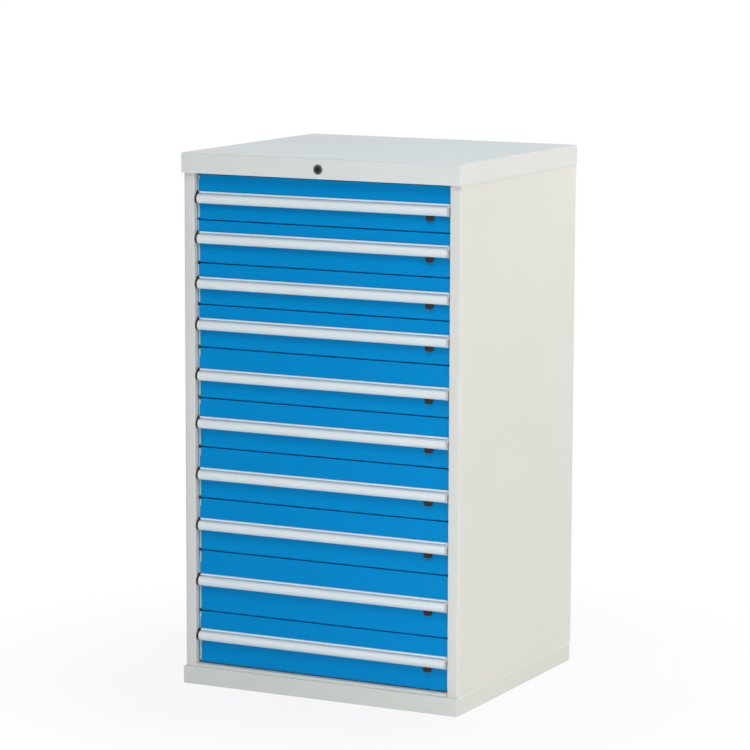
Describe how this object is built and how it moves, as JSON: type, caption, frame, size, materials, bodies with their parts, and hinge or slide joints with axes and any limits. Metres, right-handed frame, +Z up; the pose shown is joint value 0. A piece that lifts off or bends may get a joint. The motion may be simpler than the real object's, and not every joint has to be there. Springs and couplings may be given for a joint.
{
  "type": "drawer cabinet",
  "caption": "Tall steel tool cabinet on a plinth, with stacked full-width drawers on telescopic slides, hooked pull handles, drawer catches and a central lock.",
  "frame": {"origin": "on the floor, in the middle of the cabinet's footprint", "axes": "+Z up, -Y towards the drawer fronts, +X to the right as seen from the front"},
  "size_m": [0.684, 0.622, 1.2],
  "materials": {
    "cap_paint": "fine satin powder coat",
    "body_paint": "fine satin powder coat",
    "plinth_paint": "fine satin powder coat",
    "front_paint": "satin powder coat",
    "tray_paint": "satin powder coat",
    "grip_aluminium": "satin anodised, with black end caps",
    "catch_plastic": "matte moulded",
    "slide_steel": "zinc plated",
    "upright_steel": "zinc plated",
    "bar_steel": "zinc plated",
    "lock_chrome": "polished",
    "lock_rotor": "turned"
  },
  "bodies": {
    "cabinet": {"top_cap": "cap_paint", "left_side_panel": "body_paint", "right_side_panel": "body_paint", "rear_panel": "body_paint", "base_plinth": "plinth_paint", "slide_uprights": "upright_steel", "cabinet_rails": "slide_steel", "lock_case": "lock_chrome"},
    "drawer_01": {"drawer_01_box": "tray_paint", "drawer_01_front": "front_paint", "drawer_01_handle": "grip_aluminium"},
    "mid_01": {"drawer_01_mid_rails": "slide_steel"},
    "catch_01": {"drawer_01_catch": "catch_plastic"},
    "drawer_02": {"drawer_02_box": "tray_paint", "drawer_02_front": "front_paint", "drawer_02_handle": "grip_aluminium"},
    "mid_02": {"drawer_02_mid_rails": "slide_steel"},
    "catch_02": {"drawer_02_catch": "catch_plastic"},
    "drawer_03": {"drawer_03_box": "tray_paint", "drawer_03_front": "front_paint", "drawer_03_handle": "grip_aluminium"},
    "mid_03": {"drawer_03_mid_rails": "slide_steel"},
    "catch_03": {"drawer_03_catch": "catch_plastic"},
    "drawer_04": {"drawer_04_box": "tray_paint", "drawer_04_front": "front_paint", "drawer_04_handle": "grip_aluminium"},
    "mid_04": {"drawer_04_mid_rails": "slide_steel"},
    "catch_04": {"drawer_04_catch": "catch_plastic"},
    "drawer_05": {"drawer_05_box": "tray_paint", "drawer_05_front": "front_paint", "drawer_05_handle": "grip_aluminium"},
    "mid_05": {"drawer_05_mid_rails": "slide_steel"},
    "catch_05": {"drawer_05_catch": "catch_plastic"},
    "drawer_06": {"drawer_06_box": "tray_paint", "drawer_06_front": "front_paint", "drawer_06_handle": "grip_aluminium"},
    "mid_06": {"drawer_06_mid_rails": "slide_steel"},
    "catch_06": {"drawer_06_catch": "catch_plastic"},
    "drawer_07": {"drawer_07_box": "tray_paint", "drawer_07_front": "front_paint", "drawer_07_handle": "grip_aluminium"},
    "mid_07": {"drawer_07_mid_rails": "slide_steel"},
    "catch_07": {"drawer_07_catch": "catch_plastic"},
    "drawer_08": {"drawer_08_box": "tray_paint", "drawer_08_front": "front_paint", "drawer_08_handle": "grip_aluminium"},
    "mid_08": {"drawer_08_mid_rails": "slide_steel"},
    "catch_08": {"drawer_08_catch": "catch_plastic"},
    "drawer_09": {"drawer_09_box": "tray_paint", "drawer_09_front": "front_paint", "drawer_09_handle": "grip_aluminium"},
    "mid_09": {"drawer_09_mid_rails": "slide_steel"},
    "catch_09": {"drawer_09_catch": "catch_plastic"},
    "drawer_10": {"drawer_10_box": "tray_paint", "drawer_10_front": "front_paint", "drawer_10_handle": "grip_aluminium"},
    "mid_10": {"drawer_10_mid_rails": "slide_steel"},
    "catch_10": {"drawer_10_catch": "catch_plastic"},
    "lock_rotor": {"lock_rotor": "lock_rotor"},
    "lock_bar": {"lock_bar": "bar_steel"}
  },
  "joints": [
    {"name": "drawer_01_slide", "type": "slide", "parent": "cabinet", "child": "drawer_01", "axis": [0, -1, 0], "range_m": [0, 0.5]},
    {"name": "mid_01_slide", "type": "slide", "parent": "cabinet", "child": "mid_01", "axis": [0, -1, 0], "range_m": [0, 0.25]},
    {"name": "catch_01_turn", "type": "hinge", "parent": "drawer_01", "child": "catch_01", "pos_m": [0.2625, -0.281, 1.098], "axis": [1, 0, 0], "range_deg": [0, 10], "stiffness_Nm_per_rad": 0.1, "springref_deg": -11.46},
    {"name": "drawer_02_slide", "type": "slide", "parent": "cabinet", "child": "drawer_02", "axis": [0, -1, 0], "range_m": [0, 0.5]},
    {"name": "mid_02_slide", "type": "slide", "parent": "cabinet", "child": "mid_02", "axis": [0, -1, 0], "range_m": [0, 0.25]},
    {"name": "catch_02_turn", "type": "hinge", "parent": "drawer_02", "child": "catch_02", "pos_m": [0.2625, -0.281, 1.009], "axis": [1, 0, 0], "range_deg": [0, 10], "stiffness_Nm_per_rad": 0.1, "springref_deg": -11.46},
    {"name": "drawer_03_slide", "type": "slide", "parent": "cabinet", "child": "drawer_03", "axis": [0, -1, 0], "range_m": [0, 0.5]},
    {"name": "mid_03_slide", "type": "slide", "parent": "cabinet", "child": "mid_03", "axis": [0, -1, 0], "range_m": [0, 0.25]},
    {"name": "catch_03_turn", "type": "hinge", "parent": "drawer_03", "child": "catch_03", "pos_m": [0.2625, -0.281, 0.908], "axis": [1, 0, 0], "range_deg": [0, 10], "stiffness_Nm_per_rad": 0.1, "springref_deg": -11.46},
    {"name": "drawer_04_slide", "type": "slide", "parent": "cabinet", "child": "drawer_04", "axis": [0, -1, 0], "range_m": [0, 0.5]},
    {"name": "mid_04_slide", "type": "slide", "parent": "cabinet", "child": "mid_04", "axis": [0, -1, 0], "range_m": [0, 0.25]},
    {"name": "catch_04_turn", "type": "hinge", "parent": "drawer_04", "child": "catch_04", "pos_m": [0.2625, -0.281, 0.816], "axis": [1, 0, 0], "range_deg": [0, 10], "stiffness_Nm_per_rad": 0.1, "springref_deg": -11.46},
    {"name": "drawer_05_slide", "type": "slide", "parent": "cabinet", "child": "drawer_05", "axis": [0, -1, 0], "range_m": [0, 0.5]},
    {"name": "mid_05_slide", "type": "slide", "parent": "cabinet", "child": "mid_05", "axis": [0, -1, 0], "range_m": [0, 0.25]},
    {"name": "catch_05_turn", "type": "hinge", "parent": "drawer_05", "child": "catch_05", "pos_m": [0.2625, -0.281, 0.702], "axis": [1, 0, 0], "range_deg": [0, 10], "stiffness_Nm_per_rad": 0.1, "springref_deg": -11.46},
    {"name": "drawer_06_slide", "type": "slide", "parent": "cabinet", "child": "drawer_06", "axis": [0, -1, 0], "range_m": [0, 0.5]},
    {"name": "mid_06_slide", "type": "slide", "parent": "cabinet", "child": "mid_06", "axis": [0, -1, 0], "range_m": [0, 0.25]},
    {"name": "catch_06_turn", "type": "hinge", "parent": "drawer_06", "child": "catch_06", "pos_m": [0.2625, -0.281, 0.594], "axis": [1, 0, 0], "range_deg": [0, 10], "stiffness_Nm_per_rad": 0.1, "springref_deg": -11.46},
    {"name": "drawer_07_slide", "type": "slide", "parent": "cabinet", "child": "drawer_07", "axis": [0, -1, 0], "range_m": [0, 0.5]},
    {"name": "mid_07_slide", "type": "slide", "parent": "cabinet", "child": "mid_07", "axis": [0, -1, 0], "range_m": [0, 0.25]},
    {"name": "catch_07_turn", "type": "hinge", "parent": "drawer_07", "child": "catch_07", "pos_m": [0.2625, -0.281, 0.478], "axis": [1, 0, 0], "range_deg": [0, 10], "stiffness_Nm_per_rad": 0.1, "springref_deg": -11.46},
    {"name": "drawer_08_slide", "type": "slide", "parent": "cabinet", "child": "drawer_08", "axis": [0, -1, 0], "range_m": [0, 0.5]},
    {"name": "mid_08_slide", "type": "slide", "parent": "cabinet", "child": "mid_08", "axis": [0, -1, 0], "range_m": [0, 0.25]},
    {"name": "catch_08_turn", "type": "hinge", "parent": "drawer_08", "child": "catch_08", "pos_m": [0.2625, -0.281, 0.363], "axis": [1, 0, 0], "range_deg": [0, 10], "stiffness_Nm_per_rad": 0.1, "springref_deg": -11.46},
    {"name": "drawer_09_slide", "type": "slide", "parent": "cabinet", "child": "drawer_09", "axis": [0, -1, 0], "range_m": [0, 0.5]},
    {"name": "mid_09_slide", "type": "slide", "parent": "cabinet", "child": "mid_09", "axis": [0, -1, 0], "range_m": [0, 0.25]},
    {"name": "catch_09_turn", "type": "hinge", "parent": "drawer_09", "child": "catch_09", "pos_m": [0.2625, -0.281, 0.236], "axis": [1, 0, 0], "range_deg": [0, 10], "stiffness_Nm_per_rad": 0.1, "springref_deg": -11.46},
    {"name": "drawer_10_slide", "type": "slide", "parent": "cabinet", "child": "drawer_10", "axis": [0, -1, 0], "range_m": [0, 0.5]},
    {"name": "mid_10_slide", "type": "slide", "parent": "cabinet", "child": "mid_10", "axis": [0, -1, 0], "range_m": [0, 0.25]},
    {"name": "catch_10_turn", "type": "hinge", "parent": "drawer_10", "child": "catch_10", "pos_m": [0.2625, -0.281, 0.11], "axis": [1, 0, 0], "range_deg": [0, 10], "stiffness_Nm_per_rad": 0.1, "springref_deg": -11.46},
    {"name": "lock_bar_slide", "type": "slide", "parent": "cabinet", "child": "lock_bar", "axis": [0, 0, 1], "range_m": [0, 0.008]},
    {"name": "lock_turn", "type": "hinge", "parent": "cabinet", "child": "lock_rotor", "pos_m": [0, -0.31, 1.176], "axis": [0, 1, 0], "range_deg": [0, 90]}
  ],
  "couplings": [
    {"joint": "mid_01_slide", "follows": "drawer_01_slide", "ratio": 0.5},
    {"joint": "mid_02_slide", "follows": "drawer_02_slide", "ratio": 0.5},
    {"joint": "mid_03_slide", "follows": "drawer_03_slide", "ratio": 0.5},
    {"joint": "mid_04_slide", "follows": "drawer_04_slide", "ratio": 0.5},
    {"joint": "mid_05_slide", "follows": "drawer_05_slide", "ratio": 0.5},
    {"joint": "mid_06_slide", "follows": "drawer_06_slide", "ratio": 0.5},
    {"joint": "mid_07_slide", "follows": "drawer_07_slide", "ratio": 0.5},
    {"joint": "mid_08_slide", "follows": "drawer_08_slide", "ratio": 0.5},
    {"joint": "mid_09_slide", "follows": "drawer_09_slide", "ratio": 0.5},
    {"joint": "mid_10_slide", "follows": "drawer_10_slide", "ratio": 0.5},
    {"joint": "lock_turn", "follows": "lock_bar_slide", "rad_per_m": 196.3}
  ]
}
